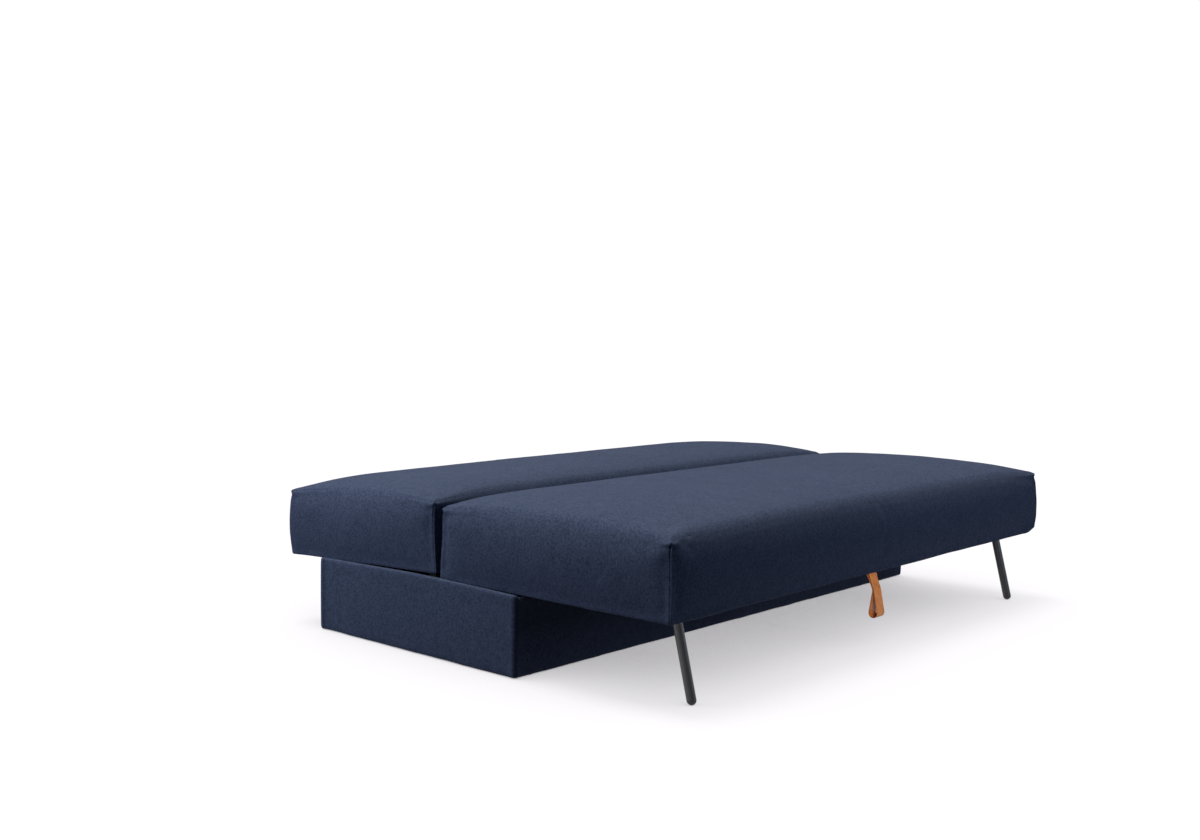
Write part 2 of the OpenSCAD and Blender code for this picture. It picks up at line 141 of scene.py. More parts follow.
def navy_fabric():
    """Heathered plain weave: threads, slubs and broad patches of two blues, with a raised weave."""
    weave_repeat = 0.0022
    g = Graph("navy_weave", rough=0.92, sheen=0.12, specular=0.05)
    g.bsdf.inputs["Sheen Tint"].default_value = (0.65, 0.70, 0.85, 1)
    sep = g.add("SeparateXYZ", Vector=g.coords.outputs["Object"]).node
    nrm = g.add("SeparateXYZ", Vector=g.coords.outputs["Normal"]).node
    waves_per_m = 2 * math.pi / weave_repeat
    sines = [g.math("SINE", g.math("MULTIPLY", sep.outputs[k], waves_per_m)) for k in range(3)]
    # the weave shows in the two directions along each face
    weave = None
    for k, (a, b) in enumerate(((1, 2), (0, 2), (0, 1))):
        facing = g.math("POWER", g.math("ABSOLUTE", nrm.outputs[k]), 4.0)
        part = g.math("MULTIPLY", g.math("MULTIPLY", sines[a], sines[b]), facing)
        weave = part if weave is None else g.math("ADD", weave, part)
    thread = g.noise(620, 3, 0.65)
    slub = g.noise(170, 3, 0.6)
    patch = g.noise(38, 4, 0.62)
    broad = g.noise(3.2, 2, 0.5)
    tone = g.math("ADD", g.ramp(thread, 0.3, 0.7, -0.34, 0.34), g.ramp(slub, 0.32, 0.68, -0.42, 0.42))
    tone = g.math("ADD", tone, g.ramp(patch, 0.3, 0.7, -0.14, 0.14))
    tone = g.math("ADD", tone, g.ramp(broad, 0.3, 0.7, -0.05, 0.05))
    fac = g.math("ADD", g.math("MULTIPLY", tone, 0.8), 0.5, clamp=True)
    dark, light = (0.0250, 0.0370, 0.072), (0.081, 0.102, 0.163)
    col = g.mix(fac, dark, light)
    heather = g.ramp(g.noise(900, 1, 0.5, vector=g.place((1, 1, 0.35))), 0.60, 0.72)
    col = g.mix(g.math("MULTIPLY", heather, 0.35), col, (0.17, 0.19, 0.25))
    g.base(col)
    height = g.math("ADD", g.math("MULTIPLY", weave, 0.35), g.math("MULTIPLY", thread, 0.9))
    height = g.math("ADD", height, g.math("MULTIPLY", slub, 0.8))
    g.bump(height, 0.3, 0.0008)
    return g.mat


def wood(name, axis, dark, light, rings=34.0, rough=0.55):
    """Planed wood whose grain runs along the given axis."""
    g = Graph(name, rough=rough, specular=0.35)
    scale = [1.0, 1.0, 1.0]
    scale[axis] = 0.07
    stretched = g.place(tuple(scale))
    warp = g.noise(9, 3, 0.5, vector=stretched)
    grain = g.noise(rings * 9, 4, 0.65, vector=stretched)
    bands = g.noise(rings, 2, 0.4, vector=stretched, distortion=1.5)
    fac = g.math("ADD", g.ramp(bands, 0.35, 0.65, 0.0, 0.75), g.ramp(grain, 0.4, 0.7, -0.12, 0.3),
                 clamp=True)
    col = g.mix(fac, light, dark)
    col = g.mix(g.ramp(warp, 0.4, 0.75, 0.0, 0.35), col, tuple(c * 0.82 for c in light))
    g.base(col)
    g.rough(g.ramp(grain, 0.3, 0.7, rough - 0.06, rough + 0.12))
    g.bump(grain, 0.18, 0.0006)
    return g.mat


def board():
    """Chipboard: pressed chips in several browns."""
    g = Graph("chipboard", rough=0.8, specular=0.3)
    chips = g.add("TexVoronoi", out=1, Vector=g.place((1, 1, 2.2)), Scale=210.0, Randomness=1.0)
    shade = g.add("SeparateColor", Color=chips)
    col = g.mix(shade, (0.33, 0.20, 0.10), (0.56, 0.40, 0.24))
    col = g.mix(g.ramp(g.noise(40, 3), 0.4, 0.7, 0.0, 0.3), col, (0.42, 0.28, 0.15))
    g.base(col)
    g.bump(shade, 0.2, 0.0005)
    return g.mat


def powder_steel():
    """Black powder coat with fine specks and dull scuffs."""
    g = Graph("black_powder_coat", rough=0.4, specular=0.75, coat=0.15)
    speck = g.noise(1300, 2, 0.6)
    scuff = g.noise(55, 4, 0.7)
    col = g.mix(g.ramp(speck, 0.35, 0.7), (0.021, 0.020, 0.021), (0.042, 0.040, 0.043))
    g.base(g.mix(g.ramp(scuff, 0.58, 0.8, 0.0, 0.35), col, (0.07, 0.068, 0.07)))
    g.rough(g.ramp(scuff, 0.3, 0.8, 0.34, 0.52))
    g.bump(speck, 0.25, 0.0003)
    return g.mat


def zinc():
    """Zinc plating with a faint spangle."""
    g = Graph("zinc_plated", rough=0.35, metal=1.0)
    spangle = g.noise(260, 3, 0.6)
    g.base(g.mix(g.ramp(spangle, 0.3, 0.7), (0.50, 0.51, 0.52), (0.72, 0.73, 0.75)))
    g.rough(g.ramp(g.noise(90, 4, 0.7), 0.3, 0.75, 0.24, 0.5))
    g.bump(spangle, 0.08, 0.0003)
    return g.mat


def moulded(name, dark, light, rough, grain=500, strength=0.2, specular=0.5):
    """A plain material with a fine grain, for plastic, rubber, foam and wadding."""
    g = Graph(name, rough=rough, specular=specular)
    fine = g.noise(grain, 3, 0.6)
    g.base(g.mix(g.ramp(fine, 0.3, 0.7), dark, light))
    g.rough(g.ramp(g.noise(70, 3), 0.3, 0.7, rough - 0.06, rough + 0.1))
    g.bump(fine, strength, 0.0004)
    return g.mat


def nonwoven():
    """Black nonwoven felt with bonding dots."""
    g = Graph("black_nonwoven_felt", rough=0.9, sheen=0.15, specular=0.2)
    fibre = g.noise(700, 4, 0.75, distortion=2.0)
    dots = g.add("TexVoronoi", Vector=g.place((1, 1, 0.01)), Scale=330.0, Randomness=0.12)
    g.base(g.mix(g.ramp(fibre, 0.3, 0.7), (0.012, 0.012, 0.014), (0.04, 0.04, 0.044)))
    g.bump(g.math("ADD", fibre, g.ramp(dots, 0.0, 0.5, -0.6, 0.2)), 0.4, 0.0005)
    return g.mat


def leather():
    """Vegetable-tanned leather with pores, a slight cloudiness and darker burnished edges."""
    g = Graph("tan_leather_hide", rough=0.42, coat=0.05, specular=0.2)
    cells = g.add("TexVoronoi", Vector=g.coords.outputs["Object"], Scale=620.0,
                  props={"feature": "DISTANCE_TO_EDGE"})
    pores = g.noise(1500, 2, 0.6)
    cloud = g.noise(75, 3, 0.6)
    edge_x = g.math("ABSOLUTE", g.add("SeparateXYZ", Vector=g.coords.outputs["Object"]).node.outputs[0])
    burnish = g.ramp(edge_x, 0.0192, 0.0209)
    col = g.mix(g.ramp(cloud, 0.3, 0.7), (0.68, 0.215, 0.046), (0.84, 0.302, 0.076))
    col = g.mix(g.ramp(pores, 0.45, 0.7, 0.0, 0.25), col, (0.38, 0.14, 0.05))
    col = g.mix(g.math("MULTIPLY", burnish, 0.65), col, (0.26, 0.095, 0.035))
    g.base(col)
    g.rough(g.ramp(cloud, 0.3, 0.7, 0.34, 0.5))
    g.bump(g.math("ADD", g.ramp(cells, 0.0, 0.2), g.math("MULTIPLY", pores, 0.5)), 0.25, 0.0004)
    return g.mat


def linen_thread():
    """Cream sewing thread."""
    g = Graph("cream_thread", rough=0.7, sheen=0.1)
    g.base(g.mix(g.noise(1600, 2), (0.52, 0.40, 0.25), (0.72, 0.60, 0.42)))
    g.bump(g.noise(2400, 2), 0.4, 0.0003)
    return g.mat


FABRIC = navy_fabric()
LEATHER = leather()
CREAM = linen_thread()
FELT = nonwoven()
PLAIN = {
    "board": board(),
    "wadding": moulded("wadding", (0.66, 0.66, 0.64), (0.8, 0.8, 0.78), 0.9, 300),
    "navy_fabric": FABRIC,
    "black_plastic": moulded("black_plastic_moulded", (0.014, 0.014, 0.015), (0.03, 0.03, 0.032), 0.45),
    "zinc_steel": zinc(),
    "black_rubber": moulded("black_rubber_soft", (0.012, 0.012, 0.012), (0.026, 0.025, 0.024), 0.75,
                            grain=240, strength=0.3),
    "foam": moulded("foam_block", (0.74, 0.68, 0.48), (0.86, 0.81, 0.62), 0.9, 420, 0.5),
    "black_nonwoven": FELT,
    "black_steel": powder_steel(),
    "white_nylon": moulded("white_nylon_wheel", (0.66, 0.66, 0.63), (0.78, 0.78, 0.75), 0.38, 600, 0.1),
    "tan_leather": LEATHER,
}
# name, dark and light colour, rings per metre and roughness of each wood
GRAINED = {
    "softwood": ("pine", (0.46, 0.27, 0.12), (0.72, 0.52, 0.31), 30.0, 0.6),
    "rail_wood": ("planed_pine", (0.50, 0.31, 0.15), (0.76, 0.57, 0.35), 40.0, 0.5),
    "slat_wood": ("birch_ply", (0.62, 0.44, 0.25), (0.82, 0.67, 0.45), 60.0, 0.42),
}
FRONT_TO_REAR = ("left_rail", "right_rail", "mid_rail", "slats")  # the pieces whose grain runs along y
grained_made = {}
for name, obj in nodes.items():
    slot_name = obj.material_slots[0].material.name
    if slot_name in GRAINED:
        axis = 1 if any(part in name for part in FRONT_TO_REAR) else 0
        key = (slot_name, axis)
        if key not in grained_made:
            stem, dark, light, rings, rough = GRAINED[slot_name]
            grained_made[key] = wood(f"{stem}_{'xy'[axis]}", axis, dark, light, rings, rough)
        obj.material_slots[0].material = grained_made[key]
    else:
        obj.material_slots[0].material = PLAIN[slot_name]


# ---------- mesh tools ----------

def smooth(t):
    """Smoothstep, clamped to 0 and 1."""
    t = np.clip(t, 0, 1)
    return t * t * (3 - 2 * t)


def graded(lo, hi, near_lo, near_hi, step):
    """Grid lines from lo to hi: the offsets near_lo and near_hi from its ends, and even steps between."""
    a, b = lo + near_lo[-1], hi - near_hi[-1]
    n = max(2, round((b - a) / step))
    mid = [a + (b - a) * i / n for i in range(1, n)]
    return np.array([lo + v for v in near_lo] + mid + [hi - v for v in reversed(near_hi)])


def lattice(xs, ys, zs):
    """The closed surface of a box on those grid lines: (points, quads, [vertex numbers of each face])."""
    shape = (len(xs), len(ys), len(zs))
    on = np.zeros(shape, bool)
    on[[0, -1]] = True
    on[:, [0, -1]] = True
    on[:, :, [0, -1]] = True
    ids = np.full(shape, -1)
    ids[on] = np.arange(on.sum())
    points = np.stack(np.meshgrid(xs, ys, zs, indexing="ij"), -1)[on]
    quads, faces = [], []
    for axis in range(3):
        for side in (0, -1):
            f = np.take(ids, side, axis)
            faces.append(f)
            q = np.stack([f[:-1, :-1], f[1:, :-1], f[1:, 1:], f[:-1, 1:]], -1).reshape(-1, 4)
            if (side == 0) != (axis == 1):
                q = q[:, ::-1]
            quads.append(q)
    return points, np.concatenate(quads), faces


def make_mesh(name, points, faces, material, smooth_shade=True):
    """A new mesh object in the scene."""
    mesh = bpy.data.meshes.new(name)
    mesh.from_pydata([tuple(p) for p in points], [], [tuple(f) for f in faces])
    mesh.update()
    mesh.polygons.foreach_set("use_smooth", [smooth_shade] * len(mesh.polygons))
    obj = bpy.data.objects.new(name, mesh)
    bpy.context.scene.collection.objects.link(obj)
    mesh.materials.append(material)
    return obj


def bake_modifiers(obj):
    """Replaces the mesh by its evaluated self and clears the modifiers."""
    bpy.context.view_layer.update()
    made = bpy.data.meshes.new_from_object(obj.evaluated_get(bpy.context.evaluated_depsgraph_get()))
    obj.modifiers.clear()
    obj.data = made
    made.name = obj.name


def cubic_weights(fine, coarse):
    """Rows of interpolation weights (Catmull-Rom) from even coarse grid lines to the fine ones."""
    n, step = len(coarse), coarse[1] - coarse[0]
    t = np.clip((fine - coarse[0]) / step, 0, n - 1 - 1e-9)
    i = t.astype(int)
    f = t - i
    w = np.stack([-0.5 * f + f**2 - 0.5 * f**3, 1 - 2.5 * f**2 + 1.5 * f**3,
                  0.5 * f + 2 * f**2 - 1.5 * f**3, -0.5 * f**2 + 0.5 * f**3], 1)
    m = np.zeros((len(fine), n))
    for k in range(4):
        np.add.at(m, (np.arange(len(fine)), np.clip(i + k - 1, 0, n - 1)), w[:, k])
    return m


def swell(points, quads, pinned, frames=20):
    """Cloth simulation of a closed fabric case under inner pressure: how far each point moves."""
    obj = make_mesh("case", points, quads, FABRIC)
    group = obj.vertex_groups.new(name="pin")
    for value in np.unique(pinned):
        if value > 0:
            group.add([int(i) for i in np.flatnonzero(pinned == value)], float(value), "REPLACE")
    cloth = obj.modifiers.new("cloth", "CLOTH")
    s = cloth.settings
    s.quality = 6
    s.mass = 0.3
    s.tension_stiffness = s.compression_stiffness = 18
    s.shear_stiffness = 6
    s.bending_stiffness = 0.4
    s.tension_damping = s.compression_damping = 12
    s.air_damping = 2
    s.use_pressure = True
    s.uniform_pressure_force = 4.0
    s.effector_weights.gravity = 0
    s.vertex_group_mass = "pin"
    s.shrink_min = -0.0015  # the cloth is cut a little large
    cloth.collision_settings.use_collision = False
    cloth.point_cache.frame_start = 1
    cloth.point_cache.frame_end = frames
    scene = bpy.context.scene
    for f in range(1, frames + 1):
        scene.frame_set(f)
    done = obj.evaluated_get(bpy.context.evaluated_depsgraph_get())
    co = np.zeros(len(points) * 3)
    done.data.vertices.foreach_get("co", co)
    scene.frame_set(1)
    bpy.data.objects.remove(obj)
    return co.reshape(-1, 3) - points


def waves(t, seed, low, high, count=7):
    """A smooth irregular line of about +-1 along t, with wavelengths between low and high."""
    rng = np.random.default_rng(seed)
    total = np.zeros_like(t)
    for k in range(count):
        length = low * (high / low) ** (k / (count - 1))
        total += np.sin(2 * math.pi * t / length + rng.uniform(0, 6.28)) * (length / high) ** 0.6
    return total / 2.2  # brings the sum to about +-1


# ---------- cushions ----------

SIM_STEP = 0.019  # grid of the simulated case
FINE_STEP, FINE_STEP_Z = 0.014, 0.013  # grid of the shown surface, away from its edges
SIM_INSET = 0.003  # the case starts this much smaller than its foam
SIM_REACH = 0.016  # the simulation moves no point further than this


class Cushion:
    """Shape of one cushion in its own frame: x centred, y from 0 to d, z from 0 to h at its top corners."""

    def __init__(self, d, h, top_r, corner_r, hem_r, dome, lift, seed, gap_side, near=1.0, soft=None):
        self.w, self.d, self.h = CUSHION_W, d, h
        self.top_r, self.corner_r, self.hem_r = top_r, corner_r, hem_r
        self.dome, self.lift, self.seed = dome, lift, seed
        self.gap_side = gap_side  # sign of y on the side that faces the other cushion
        self.near = near  # how much rounder the front left corner is
        self.soft = soft  # the bottom corner that is rounder than the others, as signs of x and y
        rng = np.random.default_rng(seed)
        # creases that fan out from each top corner, as (start, end, depth, radius)
        self.creases = []
        for sx in (-1, 1):
            for sy, y0 in ((1, 0.0), (-1, d)):
                x0 = sx * self.w / 2
                ear = np.array([x0 - sx * 0.004, y0 + sy * 0.004, h - 0.012])

                def at(dx, dy, dz):
                    return ear + np.array([-sx * dx, sy * dy, dz])
                j = rng.uniform(0.75, 1.25, 8)
                self.creases += [
                    (at(0.006, -0.004, -0.006), at(0.050 * j[0], -0.004, -0.026 * j[1]), 0.0022, 0.0050),
                    (at(-0.004, 0.006, -0.006), at(-0.004, 0.046 * j[2], -0.030 * j[3]), 0.0024, 0.0050),
                    (at(0.010, 0.002, 0.014), at(0.055 * j[4], 0.018, 0.014), 0.0016, 0.0070),
                    (at(0.002, 0.010, 0.014), at(0.018, 0.052 * j[5], 0.014), 0.0016, 0.0070),
                    (at(-0.002, -0.002, 0.012), at(0.030 * j[6], 0.030 * j[6], 0.014), -0.0036, 0.0085),
                    (at(-0.004, -0.004, -0.004), at(-0.004, -0.004, -0.012), 0.0046, 0.0055),
                    (at(0.012, -0.004, -0.001), at(0.030 * j[7], -0.004, 0.004), -0.0014, 0.0060),
                    (at(-0.004, 0.012, -0.001), at(-0.004, 0.028 * j[7], 0.004), -0.0014, 0.0060),
                ]

    def corner(self, x, y):
        """Radius of the nearest corner seam, and how proud it stands along x and along y."""
        front_left = (x < 0) & (y < self.d / 2) & (self.near > 1)
        at_gap = self.gap_side * (y - self.d / 2) > 0
        radius = self.corner_r * np.where(front_left, self.near, np.where(at_gap, 1.25, 1.0))
        proud_x = np.where(front_left, 0.15, np.where(at_gap, 0.0, 1.0))
        return radius, proud_x, np.where(at_gap, -0.8, proud_x)

    def crown(self, x, y):
        """How far the top stands above its corners."""
        fx = 1 - np.abs(2 * x / self.w) ** 10
        fy = 1 - np.abs(2 * y / self.d - 1) ** 2.6
        return self.dome * fx * fy + self.lift * (fx + fy) / 2

    def base(self, p):
        """(rounded and crowned points, outward directions) of points on the plain box."""
        x, y, z = p.T
        w, d, h = self.w, self.d, self.h
        along = np.maximum(w / 2 - np.abs(x), np.minimum(y, d - y))
        corner_r, proud_x, proud_y = self.corner(x, y)
        top = corner_r + (self.top_r - corner_r) * smooth(along / 0.24)
        r = self.hem_r + (top - self.hem_r) * smooth((z / h - 0.12) / 0.6)
        lo = np.stack([-w / 2 + r, r, r], 1)
        hi = np.stack([w / 2 - r, d - r, h - r], 1)
        core = np.clip(p, lo, hi)
        out = p - core
        out /= np.maximum(np.linalg.norm(out, axis=1, keepdims=True), 1e-9)
        q = core + out * r[:, None]
        # sides pull in between the corners, and stand out a little at half height
        mid_x = 1 - np.abs(2 * x / w) ** 2
        mid_y = 1 - np.abs(2 * y / d - 1) ** 2
        belly = np.sin(np.clip(z / h, 0, 1) * math.pi) ** 1.3
        q[:, 1] += out[:, 1] * (0.0040 * belly * (0.35 + 0.65 * mid_x) - 0.003 * mid_x)
        q[:, 0] += out[:, 0] * (0.0020 * belly * (0.35 + 0.65 * mid_y) - 0.003 * mid_y)
        # and the seams at the corners stand out
        proud = (0.0035 + 0.0045 * belly) * np.exp(-(along / 0.045) ** 2)
        q[:, 0] += np.sign(x) * proud * proud_x
        q[:, 1] += np.sign(y - d / 2) * proud * proud_y
        q[:, 2] += self.crown(x, y) * smooth((z / h - 0.25) / 0.75)
        if self.soft:
            off = np.hypot(w / 2 - self.soft[0] * x, d / 2 - self.soft[1] * (y - d / 2))
            q[:, 2] += 0.012 * np.exp(-(off / 0.028) ** 2) * np.exp(-(z / 0.03) ** 2)
        return q, out

    def pocket(self, p, q):
        """Lifts the underside inside the hem, where the wooden frame is."""
        inside = ((p[:, 2] == 0) & (np.abs(p[:, 0]) < self.w / 2 - HEM_W - 0.0005)
                  & (p[:, 1] > HEM_W + 0.0005) & (p[:, 1] < self.d - HEM_W - 0.0005))
        q[inside, 2] = FRAME_H

    def build(self, name, to_row):
        """The cushion as an object: simulated on a coarse grid, detailed on a fine one."""
        w, d, h = self.w, self.d, self.h
        # the coarse case that is simulated
        n = [round(side / SIM_STEP) for side in (w, d, h)]
        grid = [np.linspace(-w / 2, w / 2, n[0] + 1), np.linspace(0, d, n[1] + 1),
                np.linspace(0, h, n[2] + 1)]
        cp, cq, cfaces = lattice(*grid)
        moved = np.zeros_like(cp)
        q, out = self.base(cp)
        start = q - out * SIM_INSET
        corner = np.maximum(w / 2 - np.abs(cp[:, 0]), np.minimum(cp[:, 1], d - cp[:, 1]))
        # the foam inside carries the fabric: firmly on top, less at the sides, fully at hem and seams
        pinned = np.where(cp[:, 2] > h - 1e-6, 0.35, 0.18)
        pinned = np.where(cp[:, 2] < 1e-6, 1.0, pinned)
        pinned = np.where(corner < 1e-6, 0.95, pinned)
        moved = swell(start, cq, pinned) + (start - q)
        moved[(cp[:, 2] < 1e-6) | (corner < 1e-6)] = 0
        size = np.linalg.norm(moved, axis=1, keepdims=True)
        moved *= np.tanh(size / SIM_REACH) * SIM_REACH / np.maximum(size, 1e-9)
        # the fine surface that is shown, with its grid lines close together at the seams, top edge and hem
        edge = [0, 0.002, 0.004, 0.0065, 0.0095, 0.013, 0.0175, 0.0185, 0.024, 0.031, 0.040, 0.051]
        top = [0, 0.003, 0.006, 0.010, 0.015, 0.021, 0.028, 0.036, 0.046]
        hem = [0, 0.002, 0.005, 0.009, 0.014, 0.020, 0.028]
        fine = [graded(-w / 2, w / 2, edge, edge, FINE_STEP), graded(0, d, edge, edge, FINE_STEP),
                graded(0, h, hem, top, FINE_STEP_Z)]
        p, quads, faces = lattice(*fine)
        q, out = self.base(p)
        weights = [cubic_weights(f, c) for f, c in zip(fine, grid)]
        shift = np.zeros_like(p)
        for k in range(6):
            a, b = [i for i in range(3) if i != k // 2]
            coarse = moved[cfaces[k]]
            shift[faces[k]] = np.einsum("ia,abk,jb->ijk", weights[a], coarse, weights[b])
        q = q + shift
        q = self.details(p, q, out)
        self.pocket(p, q)
        obj = make_mesh(name, to_row(q), quads, FABRIC)
        sub = obj.modifiers.new("subdivision", "SUBSURF")
        sub.levels = sub.render_levels = 1
        sub.use_limit_surface = False
        bake_modifiers(obj)
        return obj

    def details(self, p, q, out):
        """Seams up the corners, gathered creases round their tops, and a hand-made hem."""
        x, y, z = p.T
        w, d, h = self.w, self.d, self.h
        push = np.zeros(len(p))
        ex, ey = w / 2 - np.abs(x), np.minimum(y, d - y)
        # distance round the corner from its crest: positive on the long faces, negative on the ends
        r = self.corner(x, y)[0]
        around = np.where(ex > ey, ex, -ey)
        t = np.abs(around)
        arc = np.where(t < r, r * (math.pi / 4 - np.arctan((r - t) / r)), r * math.pi / 4 + t - r)
        s = np.sign(around) * arc
        near = np.minimum(ex, ey) < 1e-6
        seam = near * smooth((h - z - 0.006) / 0.012) * smooth(z / 0.004 + 0.3)
        groove = 0.55 + 0.45 * smooth((z - 0.5 * h) / (0.4 * h))
        push += seam * (-0.0026 * groove * np.exp(-((s + 0.0018) / 0.0016) ** 2)
                        + 0.0012 * np.exp(-((s - 0.0016) / 0.0016) ** 2)
                        - 0.0007 * np.exp(-((s - 0.0048) / 0.0018) ** 2))
        # gathers beside the seam
        gather = waves(z + 0.37 * np.sign(x) + 0.21 * np.sign(y - d / 2), self.seed + 3, 0.014, 0.06)
        push += near * 0.0009 * gather * np.exp(-np.abs(s) / 0.016) * smooth(arc / 0.004)
        for a, b, depth, radius in self.creases:
            ab = b - a
            k = np.clip(((p - a) @ ab) / (ab @ ab), 0, 1)
            dist = np.linalg.norm(p - a - k[:, None] * ab, axis=1)
            wide = radius * (1 + 0.6 * k)
            push -= depth * np.exp(-(dist / wide) ** 2) * (1 - 0.75 * k)
        # slow unevenness of a filled case
        far = smooth(np.minimum(np.maximum(ex, ey), 0.2) / 0.1)
        push += 0.0009 * far * (waves(x + 0.7 * y, self.seed + 5, 0.13, 0.6)
                                + waves(y * 1.3 - 0.4 * x + z, self.seed + 6, 0.11, 0.5)) * 0.5
        low = np.exp(-z / 0.035)
        around_t = np.where(ex < ey, y, x)
        push += near * low * 0.0012 * waves(around_t, self.seed + 7, 0.05, 0.35)
        q = q + out * push[:, None]
        hem = np.exp(-z / 0.02) * near
        q[:, 2] += hem * 0.0011 * (waves(around_t, self.seed + 8, 0.07, 0.5) + 0.4)
        return q


def seat_to_row(q):
    """From the seat cushion's own frame to the model's."""
    return q + np.array([0, front_y, seat_z])


def back_to_row(q):
    """From the back cushion's own frame to the model's: turned by the droop about the hinge."""
    y, z = q[:, 1] - HINGE_IN, q[:, 2] - HINGE_UP
    c, s = math.cos(DROOP), math.sin(DROOP)
    return np.stack([q[:, 0], hinge.y + y * c + z * s, hinge.z - y * s + z * c], 1)


seat = Cushion(SEAT_D, SEAT_H, top_r=0.031, corner_r=0.015, hem_r=0.006, dome=0.010, lift=0.0375, seed=11,
               gap_side=1, near=1.8, soft=(1, -1))
seat_cushion = seat.build("seat_cushion", seat_to_row)
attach(seat_cushion, "seat")
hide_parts("seat_cover", "seat_foam")

back = Cushion(BACK_D, BACK_H, top_r=0.031, corner_r=0.013, hem_r=0.006, dome=0.011, lift=0.0385, seed=29,
               gap_side=-1)
back_cushion = back.build("back_cushion", back_to_row)


def boxes_mesh(name, boxes, to_row):
    """One mesh of plain boxes, used to cut the slots."""
    points, faces = [], []
    for (x0, x1), (y0, y1), (z0, z1) in boxes:
        p, f, _ = lattice(np.array([x0, x1]), np.array([y0, y1]), np.array([z0, z1]))
        faces += [tuple(i + len(points) for i in q) for q in f]
        points += list(map(tuple, p))
    return make_mesh(name, to_row(np.array(points)), faces, FABRIC, smooth_shade=False)


def both_ends(xs, ys, zs):
    """The same box at the left and the right end."""
    return [(tuple(sorted((s * xs[0], s * xs[1]))), ys, zs) for s in (-1, 1)]


for boxes in (both_ends(SLOT_X, (-0.03, NOTCH_Y), (-0.03, NOTCH_Z)),
              both_ends(CAVITY_X, (0.014, NOTCH_Y + 0.001), (0.030, NOTCH_Z - 0.001))):
    cutter = boxes_mesh("cutter", boxes, back_to_row)
    cut = back_cushion.modifiers.new("slot", "BOOLEAN")
    cut.object = cutter
    cut.solver = "EXACT"
    bake_modifiers(back_cushion)
    bpy.data.objects.remove(cutter)
back_cushion.data.set_sharp_from_angle(angle=math.radians(50))
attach(back_cushion, "back")
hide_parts("back_cover", "back_foam")


# ---------- sheets under the cushions ----------

def panel(name, x1, ys, z0, thick, sag, to_row, material, notch=None, corners=None):
    """A thin stretched sheet with stapled edges, closed on both sides.

    notch is the (half width, up to y) cut out of the middle of its first edge, and corners the
    (from |x|, up to y) cut out at both ends of that edge.
    """
    xs = np.linspace(-x1, x1, 121)
    yy = np.linspace(ys[0], ys[1], 45)
    if notch:
        xs = np.union1d(xs[np.abs(np.abs(xs) - notch[0]) > 0.009], [-notch[0], notch[0]])
        yy = np.union1d(yy[np.abs(yy - notch[1]) > 0.009], [notch[1]])
    if corners:
        lines = [s * (corners[0] + e) for s in (-1, 1) for e in (0, 0.0015)]
        xs = np.union1d(xs[np.abs(np.abs(xs) - corners[0]) > 0.009], lines)
    p, quads, _ = lattice(xs, yy, np.array([0.0, thick]))
    cuts = [(np.abs(p[:, 0]) < notch[0] - 1e-6, notch[1])] if notch else []
    cuts += [(np.abs(p[:, 0]) > corners[0] + 1e-6, corners[1])] if corners else []
    for columns, edge_y in cuts:
        # columns in front of a cut-out are drawn back onto its rear edge
        rows = yy[yy < edge_y + 0.1]
        span = (rows - rows[0]) / (rows[-1] - rows[0])
        inside = columns & (p[:, 1] <= rows[-1])
        p[inside, 1] = edge_y + np.interp(p[inside, 1], rows, span) * (rows[-1] - edge_y)
    u = np.abs(p[:, 0]) / x1
    v = np.abs(2 * (p[:, 1] - ys[0]) / (ys[1] - ys[0]) - 1)
    rise = sag * (1 - u**4) * (1 - v**4)
    ripple = 0.0006 * waves(p[:, 0] + 0.3 * p[:, 1], 41, 0.05, 0.3) * smooth((np.maximum(u, v) - 0.6) / 0.3)
    q = p.copy()
    q[:, 2] += z0 - rise - ripple * (1 - np.maximum(u, v) ** 12)
    return make_mesh(name, to_row(q), quads, material)


seat_sheet = panel("seat_dust_sheet", 0.955, (0.034, SEAT_D - 0.012), z0=0.0012, thick=0.0007, sag=0.0022,
                   to_row=seat_to_row, material=FELT, notch=(0.058, 0.060))
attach(seat_sheet, "seat")
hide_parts("seat_dust_cover")

# its edges are tucked under the hem, and its two corners leave room for the hinge arms
back_sheet = panel("back_rear_panel", 0.986, (0.014, BACK_D - 0.012), z0=0.0010, thick=0.0009, sag=0.0012,
                   to_row=back_to_row, material=FABRIC, corners=(0.945, 0.090))
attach(back_sheet, "back")
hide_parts("back_rear_fabric")


# ---------- upholstery of the storage box ----------

box_lo, box_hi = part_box("box_cover")
panel_lo, panel_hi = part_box("box_front_panel")[0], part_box("box_rear_panel")[1]


